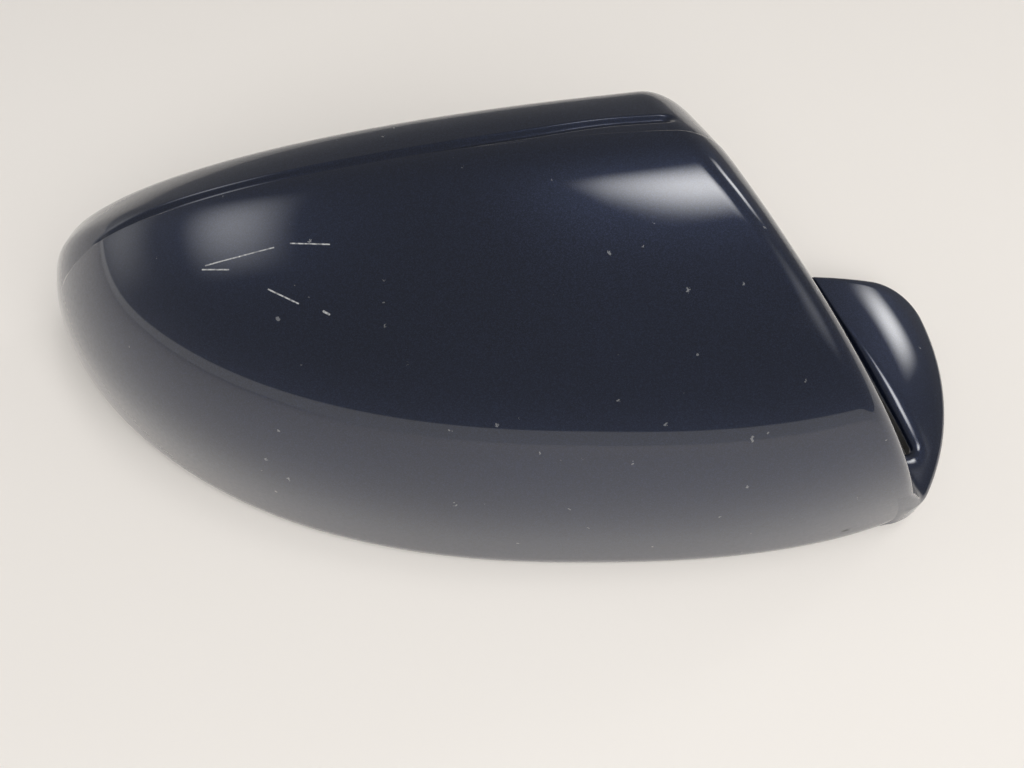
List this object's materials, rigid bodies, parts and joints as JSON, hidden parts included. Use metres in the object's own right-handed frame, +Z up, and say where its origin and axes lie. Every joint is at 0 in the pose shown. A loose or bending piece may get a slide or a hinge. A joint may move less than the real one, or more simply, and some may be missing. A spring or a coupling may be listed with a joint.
{
  "type": "wing mirror cover",
  "caption": "Domed painted cover that snaps over the back of a car's wing mirror, with a slanted open end, a curved foot hook and a grooved upper strip.",
  "frame": {"origin": "middle of the box's underside, on the surface that the open rim rests on", "axes": "+X from the outboard nose to the inboard foot hook, +Y from the near rim to the far rim, +Z up through the crown"},
  "size_m": [0.2473, 0.1208, 0.084],
  "materials": {
    "painted_plastic": "dark navy metallic paint under a glossy clear coat"
  },
  "bodies": {
    "root": {"mirror_cover": "painted_plastic"}
  },
  "joints": []
}
